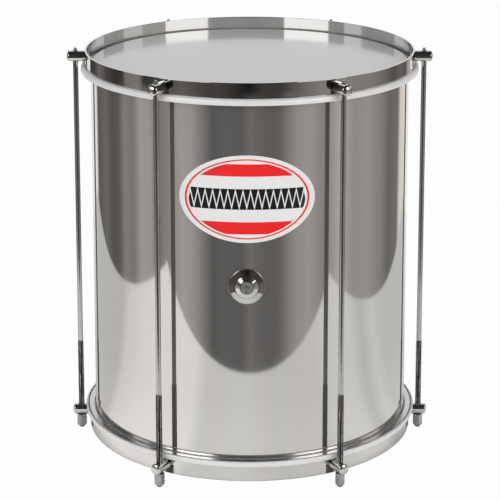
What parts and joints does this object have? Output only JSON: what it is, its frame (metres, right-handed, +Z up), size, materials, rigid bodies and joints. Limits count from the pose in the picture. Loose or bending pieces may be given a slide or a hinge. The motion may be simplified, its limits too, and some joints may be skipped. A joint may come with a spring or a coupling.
{
  "type": "repinique drum",
  "caption": "Straight metal repinique with a film head at each end, pulled tight between two flared hoops by outside tension rods, with a vent and a badge on the front.",
  "frame": {"origin": "on the floor under the middle of the drum, at the level of the ends of the tension rods", "axes": "+Z up the drum towards its playing head, -Y towards its front with the vent and badge, +X to its right"},
  "size_m": [0.2924, 0.2694, 0.3214],
  "materials": {
    "shell_chrome": "polished chrome with faint upright brush lines",
    "hoop_chrome": "polished chrome",
    "channel": "satin",
    "head_film": "glossy white film",
    "rod_steel": "bright plated steel",
    "nut_zinc": "dull zinc plate",
    "grommet": "plated",
    "plug_steel": "satin",
    "badge_plate": "enamel in white, red and black"
  },
  "bodies": {
    "drum_shell": {"shell": "shell_chrome", "top_head": "head_film", "bottom_head": "head_film", "vent_grommet": "grommet", "vent_plug": "plug_steel", "vent_backing_washer": "grommet", "badge": "badge_plate"},
    "top_hoop": {"top_counterhoop": "hoop_chrome", "top_flesh_hoop": "channel", "top_ear_1": "hoop_chrome", "top_ear_2": "hoop_chrome", "top_ear_3": "hoop_chrome", "top_ear_4": "hoop_chrome", "top_ear_5": "hoop_chrome", "top_ear_6": "hoop_chrome", "tension_rod_1": "rod_steel", "tension_rod_2": "rod_steel", "tension_rod_3": "rod_steel", "tension_rod_4": "rod_steel", "tension_rod_5": "rod_steel", "tension_rod_6": "rod_steel"},
    "bottom_hoop": {"bottom_counterhoop": "hoop_chrome", "bottom_flesh_hoop": "channel", "bottom_ear_1": "hoop_chrome", "bottom_ear_2": "hoop_chrome", "bottom_ear_3": "hoop_chrome", "bottom_ear_4": "hoop_chrome", "bottom_ear_5": "hoop_chrome", "bottom_ear_6": "hoop_chrome"},
    "nut_1": {"tuning_nut_1": "nut_zinc"},
    "nut_2": {"tuning_nut_2": "nut_zinc"},
    "nut_3": {"tuning_nut_3": "nut_zinc"},
    "nut_4": {"tuning_nut_4": "nut_zinc"},
    "nut_5": {"tuning_nut_5": "nut_zinc"},
    "nut_6": {"tuning_nut_6": "nut_zinc"}
  },
  "joints": [
    {"name": "top_hoop_slide", "type": "slide", "parent": "drum_shell", "child": "top_hoop", "axis": [0, 0, -1], "range_m": [0, 0.002]},
    {"name": "bottom_hoop_slide", "type": "slide", "parent": "drum_shell", "child": "bottom_hoop", "axis": [0, 0, 1], "range_m": [0, 0.002]},
    {"name": "nut_1_turn", "type": "hinge", "parent": "bottom_hoop", "child": "nut_1", "pos_m": [0.13925, 0, 0.006], "axis": [0, 0, 1], "range_deg": [0, 1801]},
    {"name": "nut_2_turn", "type": "hinge", "parent": "bottom_hoop", "child": "nut_2", "pos_m": [0.06963, 0.12059, 0.006], "axis": [0, 0, 1], "range_deg": [0, 1801]},
    {"name": "nut_3_turn", "type": "hinge", "parent": "bottom_hoop", "child": "nut_3", "pos_m": [-0.06963, 0.12059, 0.006], "axis": [0, 0, 1], "range_deg": [0, 1801]},
    {"name": "nut_4_turn", "type": "hinge", "parent": "bottom_hoop", "child": "nut_4", "pos_m": [-0.13925, 0, 0.006], "axis": [0, 0, 1], "range_deg": [0, 1801]},
    {"name": "nut_5_turn", "type": "hinge", "parent": "bottom_hoop", "child": "nut_5", "pos_m": [-0.06963, -0.12059, 0.006], "axis": [0, 0, 1], "range_deg": [0, 1801]},
    {"name": "nut_6_turn", "type": "hinge", "parent": "bottom_hoop", "child": "nut_6", "pos_m": [0.06963, -0.12059, 0.006], "axis": [0, 0, 1], "range_deg": [0, 1801]}
  ],
  "couplings": [
    {"joint": "bottom_hoop_slide", "follows": "top_hoop_slide", "ratio": 1},
    {"joint": "nut_1_turn", "follows": "top_hoop_slide", "rad_per_m": 15708},
    {"joint": "nut_2_turn", "follows": "top_hoop_slide", "rad_per_m": 15708},
    {"joint": "nut_3_turn", "follows": "top_hoop_slide", "rad_per_m": 15708},
    {"joint": "nut_4_turn", "follows": "top_hoop_slide", "rad_per_m": 15708},
    {"joint": "nut_5_turn", "follows": "top_hoop_slide", "rad_per_m": 15708},
    {"joint": "nut_6_turn", "follows": "top_hoop_slide", "rad_per_m": 15708}
  ]
}
